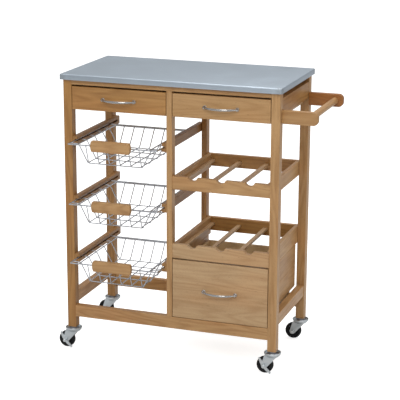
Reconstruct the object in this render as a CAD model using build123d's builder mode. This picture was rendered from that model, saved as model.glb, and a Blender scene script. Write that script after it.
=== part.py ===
from build123d import *
import math
import os

# A kitchen island cart: a beech frame with a steel worktop, three drawers, three wire
# baskets, two bottle racks, a towel rail and four swivel casters.
# Millimetres, +Z up, the front facing -Y, the origin on the floor under the middle of the
# whole cart. Places inside the cart are given from the body's middle plane (x), from the
# legs' front faces (y) and from the floor (z), and at() turns them into the model's frame.

# Body
body_width = 656.0
body_depth = 334.0
total_height = 846.0
leg_width = 26.0
leg_depth = 28.0
post_width = 17.0
eased_edge = 1.5
recess = 1.0

# Worktop
top_thickness = 16.0
top_overhang_side = 7.0
top_overhang_end = 12.0
top_corner = 12.0
top_fold = 3.0
sheet = 1.0
glue_line = 0.2

# Rails and aprons
top_rail_height = 15.0
top_rail_thickness = 20.0
apron_thickness = 18.0
side_apron_height = 49.0
side_apron_drop = 18.0
rear_apron_height = 66.0
batten_width = 21.0
batten_seat = 2.0
bottom_rail_thickness = 20.0
bottom_rail_height = 36.5
bottom_rail_lift = 34.0
side_rail_thickness = 22.0
side_rail_height = 34.0
side_rail_recess = 2.0
side_rail_lift = 40.0

# Drawers
front_thickness = 18.0
front_gap = 1.5
top_drawer_gap = 5.0
top_drawer_height = 67.5
lower_drawer_gap = 3.5
drawer_board = 10.0
drawer_floor = 4.0
drawer_floor_lift = 3.5
drawer_side_gap = 4.5
drawer_glide = 0.3
glue_gap = 0.1
top_box_lift = 14.5
top_box_drop = 10.0
top_box_back_gap = 15.0
lower_box_lift = 4.5
lower_box_drop = 18.0
lower_box_back_gap = 28.0
lower_box_gap = 2.0
runner_height = 12.0
runner_lap = 7.5
lower_runner_width = 16.0
lower_runner_height = 24.0
divider_thickness = 12.0
divider_lift = 2.5
divider_top_gap = 18.0

# Bow handles
handle_centres = 96.0
handle_reach = 28.0
handle_foot = 6.0
handle_bar_tall = 10.0
handle_bar_thick = 5.0
handle_post = 9.0
screw_size = 4.0
screw_head = 8.0
screw_head_height = 2.5

# Bottle racks
rack_rail_thickness = 15.0
rack_setback = 3.0
rack_side_thickness = 12.0
upper_rack_below_drawer = 175.5
upper_rack_rail_height = 39.0
upper_rack_side_height = 43.0
lower_rack_above_rail = 224.5
lower_rack_rail_height = 43.0
lower_rack_side_height = 53.0
notch_count = 3
notch_pitch = 85.5
notch_radius = 15.0
notch_depth = 10.0
rack_batten_width = 13.0
rack_batten_height = 8.0
rack_batten_drop = 16.5

# Lower cabinet
cabinet_slit = 16.0
cabinet_foot_gap = 2.0

# Baskets and their runners
top_groove_below_drawer = 92.5
low_groove_above_rail = 149.5
basket_runner_width = 15.0
basket_runner_below = 13.0
basket_runner_above = 12.5
basket_runner_front = 2.0
basket_runner_back_gap = 9.0
rim_wire = 4.0
rim_engagement = 6.0
rim_play = 1.25
rim_side_play = 1.0
rim_end_play = 8.0
basket_out = 52.0
basket_push_in = 50.0
basket_back_room = 34.0
basket_flange = 26.0
basket_height = 58.0
basket_taper = 25.0
grid_bar = 2.5
grid_pitch = 30.0
grid_gap = 0.3
flange_pitch = 60.0
grip_width = 122.0
grip_height = 32.0
grip_thickness = 15.0
grip_rise = 2.5
grip_low_corner = 12.0
grip_high_corner = 3.0

# Towel rail
arm_length = 104.0
arm_height = 38.0
arm_thickness = 16.0
arm_inset = 15.0
arm_below_top = 85.0
arm_corner = 14.0
towel_bar_size = 20.0
towel_bar_end = 24.5
tenon_size = 12.0
tenon_length = 10.0
fit_gap = 0.2

# Casters
caster_trail = 22.0
wheel_size = 50.0
wheel_width = 18.0
wheel_round = 4.0
hub_size = 14.0
wheel_dish = 34.0
wheel_dish_depth = 2.5
wheel_clearance = 2.0
axle_size = 6.0
axle_gap = 0.05
fork_plate = 2.0
fork_gap = 2.0
fork_eye = 9.0
fork_root_back = 21.0
fork_root_front = 10.0
cup_size = 50.0
cup_depth = 14.0
cup_floor = 4.0
cup_wall = 2.0
cup_to_leg = 4.0
race_size = 38.0
race_gap = 2.0
stem_size = 8.0
stem_length = 30.0
rivet_head = 9.0
rivet_head_height = 1.5

# Brake levers on the front casters
lever_plate = 1.5
lever_gap = 0.3
lever_past_wheel = 4.0
lever_outer_bulge = 7.0
lever_inner_bulge = 1.5
lever_end = 5.0
lever_offset = 3.5
lever_slant = 52.0
lever_tab = 6.0

# Frame bolts
bolt_size = 6.0
bolt_length = 50.0
bolt_head = 12.0
bolt_head_height = 4.0
bolt_sink = 5.0

# Planes of the frame
half_width = body_width / 2
inner_x = half_width - leg_width
post_x = post_width / 2
rear_y = body_depth
rear_leg_y = body_depth - leg_depth
wheel_radius = wheel_size / 2
cup_low = wheel_size + wheel_clearance
cup_high = cup_low + cup_depth
caster_height = cup_high + cup_to_leg
caster_x = half_width - leg_width / 2
caster_ys = {"front": leg_depth / 2, "rear": body_depth - leg_depth / 2}
top_under = total_height - top_thickness
top_rail_low = top_under - top_rail_height
bottom_rail_low = caster_height + bottom_rail_lift
bottom_rail_high = bottom_rail_low + bottom_rail_height
bottom_rail_back = recess + bottom_rail_thickness
side_rail_x = half_width - side_rail_recess - side_rail_thickness
side_rail_low = bottom_rail_low + side_rail_lift
side_rail_high = side_rail_low + side_rail_height
apron_x = half_width - recess - apron_thickness
side_apron_high = top_under - side_apron_drop
side_apron_low = side_apron_high - side_apron_height
rear_apron_low = top_under - rear_apron_height
rear_apron_y = rear_y - recess - apron_thickness
bays = {"left": (-inner_x, -post_x), "right": (post_x, inner_x)}
sides = {"left": -1, "right": 1}
cabinet_x = (post_x + rack_side_thickness, inner_x - rack_side_thickness)

# Heights of the drawers, racks and baskets
top_drawer_high = top_rail_low - top_drawer_gap
top_drawer_low = top_drawer_high - top_drawer_height
upper_rack_top = top_drawer_low - upper_rack_below_drawer
lower_rack_top = bottom_rail_high + lower_rack_above_rail
lower_drawer_low = bottom_rail_high + front_gap
lower_drawer_high = lower_rack_top - lower_rack_rail_height - lower_drawer_gap
top_groove = top_drawer_low - top_groove_below_drawer
bottom_groove = bottom_rail_high + low_groove_above_rail
grooves = {"top": top_groove, "middle": (top_groove + bottom_groove) / 2, "bottom": bottom_groove}

# The cart's reach each way from the body, and so the place of the origin
left_reach = max(half_width + top_overhang_side, caster_x + caster_trail + wheel_radius)
right_reach = half_width + max(arm_length, top_overhang_side)
basket_reach = basket_out + rim_wire / 2 + grid_gap + grip_thickness
front_reach = max(basket_reach, handle_reach, top_overhang_end)
rear_reach = body_depth + top_overhang_end
middle = (left_reach - right_reach) / 2
front = (front_reach - rear_reach) / 2

to_rear = (0, 1, 0)
to_front = (0, -1, 0)
to_right = (1, 0, 0)
upward = (0, 0, 1)
downward = (0, 0, -1)

os.makedirs("parts", exist_ok=True)


def at(x, y, z):
    return (middle + x, front + y, z)


# A plane facing the front, with its own x to the right and its own y upward
def front_plane(x, y, z):
    return Plane(origin=at(x, y, z), x_dir=to_right, z_dir=to_front)


def save(piece, name):
    piece.part.label = name
    export_step(piece.part, f"parts/{name}.step")


# A board between pairs of x, y and z, with the edges along one axis eased
def board(x, y, z, along=None, mode=Mode.ADD):
    size = (x[1] - x[0], y[1] - y[0], z[1] - z[0])
    with Locations(at(sum(x) / 2, sum(y) / 2, sum(z) / 2)):
        Box(*size, mode=mode)
    if along:
        fillet(edges(Select.LAST).filter_by(along), min(eased_edge, min(size) / 3))


# A round bar, or a round hole, from a start point
def rod(start, direction, length, size, mode=Mode.ADD):
    with Locations(Plane(origin=at(*start), z_dir=direction)):
        Cylinder(size / 2, length, align=(Align.CENTER, Align.CENTER, Align.MIN), mode=mode)


# The two x limits of something at one side, the lower first
def mirrored(side, near, far):
    return sorted((side * near, side * far))


# ---- frame ----

arm_middle_z = total_height - arm_below_top
arm_z = (arm_middle_z - arm_height / 2, arm_middle_z + arm_height / 2)
arm_ys = {
    "front": (arm_inset, arm_inset + arm_thickness),
    "rear": (body_depth - arm_inset - arm_thickness, body_depth - arm_inset),
}

# A bolt starts on the outside of a leg, where its head is sunk, and goes on into the end
# of an apron, a side rail or a towel rail arm
arm_bolts = {
    "front": (inner_x, (arm_inset + leg_depth) / 2, arm_middle_z),
    "rear": (inner_x, body_depth - (arm_inset + leg_depth) / 2, arm_middle_z),
}
apron_bolts = {
    hand: (side * (apron_x + apron_thickness / 2), rear_y, side_apron_low + side_apron_height / 2)
    for hand, side in sides.items()
}
rail_bolts = {
    hand: (side * (side_rail_x + side_rail_thickness / 2), rear_y, side_rail_low + side_rail_height / 2)
    for hand, side in sides.items()
}


def moved(start, direction, distance):
    return tuple(a + b * distance for a, b in zip(start, direction))


def bolt(start, direction):
    rod(moved(start, direction, bolt_sink - bolt_head_height), direction, bolt_head_height, bolt_head)
    rod(moved(start, direction, bolt_sink), direction, bolt_length, bolt_size)


def bolt_hole(start, direction):
    rod(start, direction, bolt_sink, bolt_head + 2 * fit_gap, Mode.SUBTRACT)
    deep = moved(start, direction, bolt_sink)
    rod(deep, direction, bolt_length + fit_gap, bolt_size + 2 * fit_gap, Mode.SUBTRACT)


for end, low_y in {"front": 0.0, "rear": rear_leg_y}.items():
    for hand, side in sides.items():
        with BuildPart() as leg:
            xs = mirrored(side, inner_x, half_width)
            board(xs, (low_y, low_y + leg_depth), (caster_height, top_under), Axis.Z)
            foot = (side * caster_x, caster_ys[end], caster_height)
            rod(foot, upward, stem_length + fit_gap, stem_size + 2 * fit_gap, Mode.SUBTRACT)
            if end == "rear":
                bolt_hole(apron_bolts[hand], to_front)
                bolt_hole(rail_bolts[hand], to_front)
            if hand == "right":
                bolt_hole(arm_bolts[end], to_right)
        save(leg, f"leg_{end}_{hand}")

with BuildPart() as bolts:
    for start in (*apron_bolts.values(), *rail_bolts.values()):
        bolt(start, to_front)
    for start in arm_bolts.values():
        bolt(start, to_right)
save(bolts, "frame_bolts")

with BuildPart() as post:
    board((-post_x, post_x), (0, leg_depth), (bottom_rail_high, top_rail_low), Axis.Z)
save(post, "post_front")

with BuildPart() as post:
    board((-post_x, post_x), (rear_leg_y, rear_y), (bottom_rail_high, rear_apron_low), Axis.Z)
save(post, "post_rear")

with BuildPart() as rail:
    board((-inner_x, inner_x), (0, top_rail_thickness), (top_rail_low, top_under), Axis.X)
save(rail, "front_top_rail")

with BuildPart() as apron:
    board((-inner_x, inner_x), (rear_apron_y, rear_y - recess), (rear_apron_low, top_under), Axis.X)
save(apron, "rear_apron")

with BuildPart() as aprons:
    for hand, side in sides.items():
        xs = mirrored(side, apron_x, apron_x + apron_thickness)
        board(xs, (leg_depth, rear_leg_y), (side_apron_low, side_apron_high), Axis.Y)
        bolt_hole(apron_bolts[hand], to_front)
save(aprons, "side_aprons")

with BuildPart() as battens:
    for side in sides.values():
        xs = mirrored(side, apron_x + batten_seat - batten_width, apron_x + batten_seat)
        board(xs, (leg_depth, rear_leg_y), (side_apron_high, top_under), Axis.Y)
save(battens, "top_battens")

with BuildPart() as rail:
    board((-inner_x, inner_x), (recess, bottom_rail_back), (bottom_rail_low, bottom_rail_high), Axis.X)
save(rail, "bottom_rail_front")

with BuildPart() as rail:
    ys = (rear_y - bottom_rail_back, rear_y - recess)
    board((-inner_x, inner_x), ys, (bottom_rail_low, bottom_rail_high), Axis.X)
save(rail, "bottom_rail_rear")

with BuildPart() as rails:
    for hand, side in sides.items():
        xs = mirrored(side, side_rail_x, side_rail_x + side_rail_thickness)
        board(xs, (leg_depth, rear_leg_y), (side_rail_low, side_rail_high), Axis.Y)
        bolt_hole(rail_bolts[hand], to_front)
save(rails, "bottom_side_rails")

# ---- worktop: a board with a steel sheet folded down over its edges ----

top_width = body_width + 2 * top_overhang_side
top_depth = body_depth + 2 * top_overhang_end
core_inset = sheet + glue_line
top_plane = Plane(origin=at(0, body_depth / 2, top_under))

with BuildPart() as core:
    with BuildSketch(top_plane):
        core_corner = top_corner - core_inset
        RectangleRounded(top_width - 2 * core_inset, top_depth - 2 * core_inset, core_corner)
    extrude(amount=top_thickness - core_inset)
    fillet(core.faces().sort_by(Axis.Z)[-1].edges(), top_fold)
save(core, "worktop_core")

with BuildPart() as skin:
    with BuildSketch(top_plane):
        RectangleRounded(top_width, top_depth, top_corner)
    extrude(amount=top_thickness)
    fillet(skin.faces().sort_by(Axis.Z)[-1].edges(), top_fold)
    offset(amount=-sheet, openings=skin.faces().sort_by(Axis.Z)[0])
save(skin, "worktop_skin")

# ---- towel rail ----

with BuildPart() as arms:
    for end, ys in arm_ys.items():
        with BuildSketch(front_plane(half_width + arm_length / 2, ys[0], arm_middle_z)) as outline:
            Rectangle(arm_length, arm_height)
            fillet(outline.vertices().group_by(Axis.X)[-1], arm_corner)
        extrude(amount=-arm_thickness)
    fillet(arms.faces().filter_by(Axis.Y).edges(), eased_edge)
    bar_x = half_width + arm_length - towel_bar_end
    tenon_hole = (tenon_length + fit_gap, tenon_size + 2 * fit_gap)
    rod((bar_x, arm_ys["front"][1], arm_middle_z), to_front, *tenon_hole, Mode.SUBTRACT)
    rod((bar_x, arm_ys["rear"][0], arm_middle_z), to_rear, *tenon_hole, Mode.SUBTRACT)
    for start in arm_bolts.values():
        bolt_hole(start, to_right)
save(arms, "towel_arms")

with BuildPart() as towel_bar:
    bar_start = (bar_x, arm_ys["front"][1], arm_middle_z)
    bar_length = arm_ys["rear"][0] - arm_ys["front"][1]
    rod(bar_start, to_rear, bar_length, towel_bar_size)
    tenon_start = moved(bar_start, to_front, tenon_length)
    rod(tenon_start, to_rear, bar_length + 2 * tenon_length, tenon_size)
save(towel_bar, "towel_bar")

# ---- drawers and what they run on ----

top_runner_high = top_drawer_low + top_box_lift
top_runner_low = top_runner_high - runner_height
lower_runner_high = lower_drawer_low + lower_box_lift
lower_runner_low = lower_runner_high - lower_runner_height

with BuildPart() as divider:
    divider_x = divider_thickness / 2
    zs = (top_drawer_low + divider_lift, top_under - divider_top_gap)
    board((-divider_x, divider_x), (leg_depth, rear_leg_y), zs, Axis.Y)
save(divider, "drawer_divider")

# The outer runners stand between the legs and the inner ones on the divider, and each
# reaches under the side of a drawer box by the lap
with BuildPart() as runners:
    outer_tip = inner_x - drawer_side_gap - runner_lap
    inner_tip = post_x + drawer_side_gap + runner_lap
    for side in sides.values():
        for xs in (mirrored(side, outer_tip, apron_x), mirrored(side, divider_x, inner_tip)):
            board(xs, (leg_depth, rear_leg_y), (top_runner_low, top_runner_high), Axis.Y)
save(runners, "upper_drawer_runners")

with BuildPart() as runners:
    ys = (bottom_rail_back, rear_y - bottom_rail_back)
    zs = (lower_runner_low, lower_runner_high)
    board((cabinet_x[0], cabinet_x[0] + lower_runner_width), ys, zs, Axis.Y)
    board((cabinet_x[1] - lower_runner_width, cabinet_x[1]), ys, zs, Axis.Y)
save(runners, "lower_drawer_runners")

with BuildPart() as panels:
    ys = (rack_setback + rack_rail_thickness + 2, rear_leg_y - cabinet_slit)
    zs = (side_rail_high + cabinet_foot_gap, lower_rack_top - lower_rack_side_height)
    board((post_x, cabinet_x[0]), ys, zs)
    board((cabinet_x[1], inner_x), ys, zs)
save(panels, "cabinet_sides")


def make_drawer(name, front_x, front_z, box_x, box_z, box_back):
    handle_x = sum(front_x) / 2
    handle_z = sum(front_z) / 2
    feet = (handle_x - handle_centres / 2, handle_x + handle_centres / 2)

    with BuildPart() as drawer_front:
        board(front_x, (0, front_thickness), front_z)
        fillet(drawer_front.faces().sort_by(Axis.Y)[0].edges(), eased_edge)
        for x in feet:
            hole = screw_size + 2 * fit_gap
            rod((x, 0, handle_z), to_rear, front_thickness, hole, Mode.SUBTRACT)
    save(drawer_front, f"{name}_front")

    # Two sides, a back between them, and a floor let in between all three
    with BuildPart() as box:
        front_y = front_thickness + glue_gap
        inner = (box_x[0] + drawer_board + glue_gap, box_x[1] - drawer_board - glue_gap)
        floor_low = box_z[0] + drawer_floor_lift
        board((box_x[0], box_x[0] + drawer_board), (front_y, box_back), box_z, Axis.Y)
        board((box_x[1] - drawer_board, box_x[1]), (front_y, box_back), box_z, Axis.Y)
        board(inner, (box_back - drawer_board, box_back), box_z, Axis.X)
        floor_y = (front_y, box_back - drawer_board - glue_gap)
        board(inner, floor_y, (floor_low, floor_low + drawer_floor))
    save(box, f"{name}_box")

    # The bar is a piece of a ring about an upright axis, and its two feet hold screws
    # that come through the drawer's front
    bar_reach = handle_reach - handle_bar_thick / 2
    rise = bar_reach - handle_foot
    ring = ((handle_centres / 2) ** 2 + rise**2) / (2 * rise)
    half_turn = math.asin(handle_centres / 2 / ring)
    ring_middle = at(handle_x, ring - bar_reach, handle_z)
    radial = (-math.sin(half_turn), -math.cos(half_turn), 0)
    tangent = (-math.cos(half_turn), math.sin(half_turn), 0)
    with BuildPart() as handle:
        with BuildSketch(Plane(origin=ring_middle, x_dir=radial, z_dir=tangent)):
            with Locations((ring, 0)):
                Ellipse(handle_bar_thick / 2, handle_bar_tall / 2)
        revolve(axis=Axis(ring_middle, upward), revolution_arc=math.degrees(2 * half_turn))
        for x in feet:
            rod((x, 0, handle_z), to_front, handle_foot + handle_bar_thick / 2, handle_post)
        for x in feet:
            hole = screw_size + 2 * axle_gap
            rod((x, 0, handle_z), to_front, handle_foot, hole, Mode.SUBTRACT)
        for x in feet:
            tip = (x, 1 - handle_foot, handle_z)
            rod(tip, to_rear, front_thickness + handle_foot - 1, screw_size)
            rod((x, front_thickness, handle_z), to_rear, screw_head_height, screw_head)
    save(handle, f"{name}_handle")


for hand, bay in bays.items():
    make_drawer(
        f"drawer_{hand}",
        (bay[0] + front_gap, bay[1] - front_gap),
        (top_drawer_low, top_drawer_high),
        (bay[0] + drawer_side_gap, bay[1] - drawer_side_gap),
        (top_runner_high + drawer_glide, top_drawer_high - top_box_drop),
        rear_apron_y - top_box_back_gap,
    )

make_drawer(
    "drawer_lower",
    (bays["right"][0] + front_gap, bays["right"][1] - front_gap),
    (lower_drawer_low, lower_drawer_high),
    (cabinet_x[0] + lower_box_gap, cabinet_x[1] - lower_box_gap),
    (lower_runner_high + drawer_glide, lower_drawer_high - lower_box_drop),
    rear_y - bottom_rail_back - lower_box_back_gap,
)

# ---- bottle racks ----

rack_front_y = (rack_setback, rack_setback + rack_rail_thickness)
rack_rear_y = (rear_y - rack_setback - rack_rail_thickness, rear_y - rack_setback)
rack_span = (rack_front_y[1], rack_rear_y[0])
rack_middle_x = sum(bays["right"]) / 2
notch_xs = [rack_middle_x + notch_pitch * (n - (notch_count - 1) / 2) for n in range(notch_count)]
rack_batten_xs = [
    cabinet_x[0] + rack_batten_width / 2,
    *((a + b) / 2 for a, b in zip(notch_xs, notch_xs[1:])),
    cabinet_x[1] - rack_batten_width / 2,
]


def make_rack(name, rack_top, rail_height, side_height):
    with BuildPart() as rail:
        board(bays["right"], rack_front_y, (rack_top - rail_height, rack_top), Axis.X)
        for x in notch_xs:
            start = (x, rack_front_y[0], rack_top - notch_depth + notch_radius)
            rod(start, to_rear, rack_rail_thickness, 2 * notch_radius, Mode.SUBTRACT)
    save(rail, f"{name}_front_rail")

    with BuildPart() as rail:
        board(bays["right"], rack_rear_y, (rack_top - rail_height, rack_top), Axis.X)
    save(rail, f"{name}_rear_rail")

    with BuildPart() as rack_sides:
        board((post_x, cabinet_x[0]), rack_span, (rack_top - side_height, rack_top), Axis.Y)
        board((cabinet_x[1], inner_x), rack_span, (rack_top - side_height, rack_top), Axis.Y)
    save(rack_sides, f"{name}_sides")

    with BuildPart() as battens:
        batten_high = rack_top - rack_batten_drop
        for x in rack_batten_xs:
            xs = (x - rack_batten_width / 2, x + rack_batten_width / 2)
            board(xs, rack_span, (batten_high - rack_batten_height, batten_high), Axis.Y)
    save(battens, f"{name}_battens")


make_rack("upper_rack", upper_rack_top, upper_rack_rail_height, upper_rack_side_height)
make_rack("lower_rack", lower_rack_top, lower_rack_rail_height, lower_rack_side_height)

# ---- baskets and their grooved runners ----

basket_x = sum(bays["left"]) / 2
bay_half = (bays["left"][1] - bays["left"][0]) / 2
rim_half = bay_half - basket_runner_width + rim_engagement
basket_length = body_depth - basket_back_room
rim_y = (-basket_out, basket_length - basket_out)
groove_depth = rim_engagement + rim_wire / 2 + rim_side_play
groove_half = rim_wire / 2 + rim_play
groove_stop = rim_y[1] + basket_push_in + rim_wire / 2 + rim_end_play
tray_half = rim_half - basket_flange
tray_y = (rim_y[0] + rim_wire / 2 + grid_gap, rim_y[1] - rim_wire / 2 - grid_gap)
tray_middle_y = sum(tray_y) / 2
tray_half_length = (tray_y[1] - tray_y[0]) / 2


# A flat trapezium of crossing bars under a plane, with the narrower edge at its low side
def bar_grid(plane, low_width, high_width, rise, columns, rows):
    with BuildSketch(plane) as grid:
        with BuildLine():
            Polyline(
                (-low_width / 2, -rise / 2),
                (low_width / 2, -rise / 2),
                (high_width / 2, rise / 2),
                (-high_width / 2, rise / 2),
                close=True,
            )
        make_face()
        column = (low_width - grid_bar) / columns
        row = (rise - grid_bar) / rows
        with GridLocations(column, row, columns, rows):
            Rectangle(column - grid_bar, row - grid_bar, mode=Mode.SUBTRACT)
    extrude(grid.sketch, amount=-grid_bar)


def make_runners(level, height):
    zs = (height - basket_runner_below, height + basket_runner_above)
    groove_z = (height - groove_half, height + groove_half)
    ys = (basket_runner_front, rear_y - basket_runner_back_gap)
    with BuildPart() as runners:
        for side in sides.values():
            face = side * bay_half
            inner_face = side * (bay_half - basket_runner_width)
            xs = sorted((basket_x + face, basket_x + inner_face))
            board(xs, ys, zs, Axis.Y)
        for side in sides.values():
            inner_face = side * (bay_half - basket_runner_width)
            xs = sorted((basket_x + inner_face, basket_x + inner_face + side * groove_depth))
            board(xs, (ys[0], groove_stop), groove_z, mode=Mode.SUBTRACT)
    save(runners, f"basket_runners_{level}")


def make_basket(level, height):
    with BuildPart() as wires:
        # The rim: side bars that run in the grooves, front and back bars between them
        for side in sides.values():
            start = (basket_x + side * rim_half, rim_y[0] - rim_wire / 2, height)
            rod(start, to_rear, basket_length + rim_wire, rim_wire)
        bar_half = rim_half - rim_wire / 2 - grid_gap
        for y in rim_y:
            rod((basket_x - bar_half, y, height), to_right, 2 * bar_half, rim_wire)
        # Ladders from the side bars to the tray
        ladder_width = basket_flange - rim_wire / 2 - 2 * grid_gap
        ladder_x = tray_half + grid_gap + ladder_width / 2
        ladder_length = 2 * tray_half_length
        ladder_rows = round(ladder_length / flange_pitch)
        for side in sides.values():
            middle_point = at(basket_x + side * ladder_x, tray_middle_y, height + grid_bar / 2)
            bar_grid(Plane(origin=middle_point), ladder_width, ladder_width, ladder_length, 1, ladder_rows)
        # Four sloping walls, the front and back ones between the other two
        corner = 2 * grid_bar
        slope = math.hypot(basket_height, basket_taper)
        for way_x, way_y in ((1, 0), (-1, 0), (0, 1), (0, -1)):
            out = (tray_half if way_x else tray_half_length) - basket_taper / 2
            along = tray_half_length if way_x else tray_half - corner
            plane = Plane(
                origin=at(basket_x + way_x * out, tray_middle_y + way_y * out, height - basket_height / 2),
                x_dir=(-way_y, way_x, 0),
                z_dir=(way_x * basket_height, way_y * basket_height, -basket_taper),
            )
            low = 2 * (along - basket_taper)
            bar_grid(plane, low, 2 * along, slope, round(low / grid_pitch), 2)
        # The floor
        floor_width = 2 * (tray_half - basket_taper - corner)
        floor_length = 2 * (tray_half_length - basket_taper - corner)
        floor_columns = round(floor_width / grid_pitch)
        floor_rows = round(floor_length / grid_pitch)
        plane = Plane(origin=at(basket_x, tray_middle_y, height - basket_height + grid_bar))
        bar_grid(plane, floor_width, floor_width, floor_length, floor_columns, floor_rows)
    save(wires, f"basket_{level}_wires")

    with BuildPart() as grip:
        grip_back = rim_y[0] - rim_wire / 2 - grid_gap
        with BuildSketch(front_plane(basket_x, grip_back, height + grip_rise)) as outline:
            Rectangle(grip_width, grip_height)
            fillet(outline.vertices().group_by(Axis.Y)[0], grip_low_corner)
            fillet(outline.vertices().group_by(Axis.Y)[-1], grip_high_corner)
        extrude(amount=grip_thickness)
        fillet(grip.faces().filter_by(Axis.Y).edges(), eased_edge)
    save(grip, f"basket_{level}_grip")


for level, height in grooves.items():
    make_runners(level, height)
    make_basket(level, height)

# ---- casters ----

axle_reach = wheel_width / 2 + fork_gap + fork_plate
race_low = cup_low + cup_floor + race_gap

# Each stem is pressed up into a leg, carries the fixed race and is the fork's swivel pin
with BuildPart() as stems:
    for side in sides.values():
        for y in caster_ys.values():
            x = side * caster_x
            pin_low = cup_low + fork_plate
            rod((x, y, pin_low), upward, caster_height + stem_length - pin_low, stem_size)
            rod((x, y, race_low), upward, caster_height - race_low, race_size)
save(stems, "caster_stems")


def make_caster(name, x, y, braked):
    axle_x = x - caster_trail

    # A cup that turns on the stem, two plates down to the axle, and the axle itself
    with BuildPart() as fork:
        rod((x, y, cup_low), upward, cup_depth, cup_size)
        inside = cup_size - 2 * cup_wall
        rod((x, y, cup_low + cup_floor), upward, cup_depth - cup_floor, inside, Mode.SUBTRACT)
        plate_root = (fork_root_front - fork_root_back) / 2
        for face_y in (y - axle_reach, y + axle_reach - fork_plate):
            with BuildSketch(front_plane(x, face_y, 0)):
                with Locations((-caster_trail, wheel_radius)):
                    Circle(fork_eye)
                with Locations((plate_root, cup_low + 1)):
                    Rectangle(fork_root_front + fork_root_back, 2)
                make_hull()
            extrude(amount=-fork_plate)
        rod((x, y, cup_low), upward, cup_floor, stem_size + 2 * axle_gap, Mode.SUBTRACT)
        ends = (y - axle_reach, y + axle_reach)
        eye = axle_size + 2 * axle_gap
        rod((axle_x, ends[0], wheel_radius), to_rear, 2 * axle_reach, eye, Mode.SUBTRACT)
        front_end = ends[0] - (lever_plate + 2 * lever_gap if braked else 0)
        rod((axle_x, front_end, wheel_radius), to_rear, ends[1] - front_end, axle_size)
        rod((axle_x, front_end, wheel_radius), to_front, rivet_head_height, rivet_head)
        rod((axle_x, ends[1], wheel_radius), to_rear, rivet_head_height, rivet_head)
    save(fork, f"{name}_fork")

    with BuildPart() as wheel:
        face_y = y - wheel_width / 2
        rod((axle_x, face_y, wheel_radius), to_rear, wheel_width, wheel_size)
        fillet(wheel.edges().filter_by(GeomType.CIRCLE), wheel_round)
        for start_y, inward in ((face_y, to_rear), (face_y + wheel_width, to_front)):
            start = (axle_x, start_y, wheel_radius)
            rod(start, inward, wheel_dish_depth, wheel_dish, Mode.SUBTRACT)
        rod((axle_x, face_y, wheel_radius), to_rear, wheel_width, hub_size)
        bore = axle_size + 2 * axle_gap
        rod((axle_x, face_y, wheel_radius), to_rear, wheel_width, bore, Mode.SUBTRACT)
    save(wheel, f"{name}_wheel")

    if not braked:
        return

    # A crescent plate outside the fork, with a tab at each end; its own x axis runs down
    # to the right along the slant, and the axle is a little below the line of its ends
    with BuildPart() as lever:
        half_span = wheel_radius + lever_past_wheel
        back_y = y - axle_reach - lever_gap
        slant = math.radians(lever_slant)
        along = (math.cos(slant), 0, -math.sin(slant))
        across = (math.sin(slant), 0, math.cos(slant))
        origin = moved((axle_x, back_y, wheel_radius), across, lever_offset)
        lever_plane = Plane(origin=at(*origin), x_dir=along, z_dir=to_front)
        with BuildSketch(lever_plane):
            with BuildLine():
                half_end = lever_end / 2
                corners = [(-half_span, -half_end), (half_span, -half_end)]
                corners += [(half_span, half_end), (-half_span, half_end)]
                ThreePointArc(corners[0], (0, -half_end - lever_outer_bulge), corners[1])
                Line(corners[1], corners[2])
                ThreePointArc(corners[2], (0, half_end - lever_inner_bulge), corners[3])
                Line(corners[3], corners[0])
            make_face()
        extrude(amount=lever_plate)
        tab_middle = half_span - lever_plate / 2
        with BuildSketch(lever_plane):
            with Locations((-tab_middle, 0), (tab_middle, 0)):
                Rectangle(lever_plate, lever_end)
        extrude(amount=lever_tab)
        bore = axle_size + 2 * axle_gap
        rod((axle_x, back_y, wheel_radius), to_front, lever_plate, bore, Mode.SUBTRACT)
    save(lever, f"{name}_brake_lever")


for end, y in caster_ys.items():
    for hand, side in sides.items():
        make_caster(f"caster_{end}_{hand}", side * caster_x, y, end == "front")
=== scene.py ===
import math
import bmesh
import bpy
from mathutils import Matrix, Vector


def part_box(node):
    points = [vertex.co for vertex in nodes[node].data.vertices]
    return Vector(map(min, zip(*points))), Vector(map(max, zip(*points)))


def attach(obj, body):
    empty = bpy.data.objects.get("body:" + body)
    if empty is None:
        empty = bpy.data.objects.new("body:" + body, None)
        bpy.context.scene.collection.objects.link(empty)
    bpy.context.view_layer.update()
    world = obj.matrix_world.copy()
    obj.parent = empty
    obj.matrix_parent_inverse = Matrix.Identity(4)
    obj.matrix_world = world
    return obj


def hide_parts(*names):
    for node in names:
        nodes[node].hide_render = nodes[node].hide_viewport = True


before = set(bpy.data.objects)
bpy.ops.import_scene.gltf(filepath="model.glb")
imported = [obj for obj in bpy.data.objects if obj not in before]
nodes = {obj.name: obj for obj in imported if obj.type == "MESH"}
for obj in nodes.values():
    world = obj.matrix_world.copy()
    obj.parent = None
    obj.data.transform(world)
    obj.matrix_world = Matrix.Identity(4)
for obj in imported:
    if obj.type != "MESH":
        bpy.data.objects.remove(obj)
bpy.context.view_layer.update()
scene = bpy.context.scene

# the camera's place is measured from the body's middle, the legs' front faces and the floor
bodyMiddle = (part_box("leg_front_left")[0].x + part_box("leg_front_right")[1].x) / 2
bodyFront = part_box("leg_front_left")[0].y
cameraView = {"x": 1.3814, "y": -3.6896, "z": 1.5541, "yaw": 0.3356, "pitch": -0.2622,
              "roll": 0.0047, "lens": 127.16, "clipEnd": 50}


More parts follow.
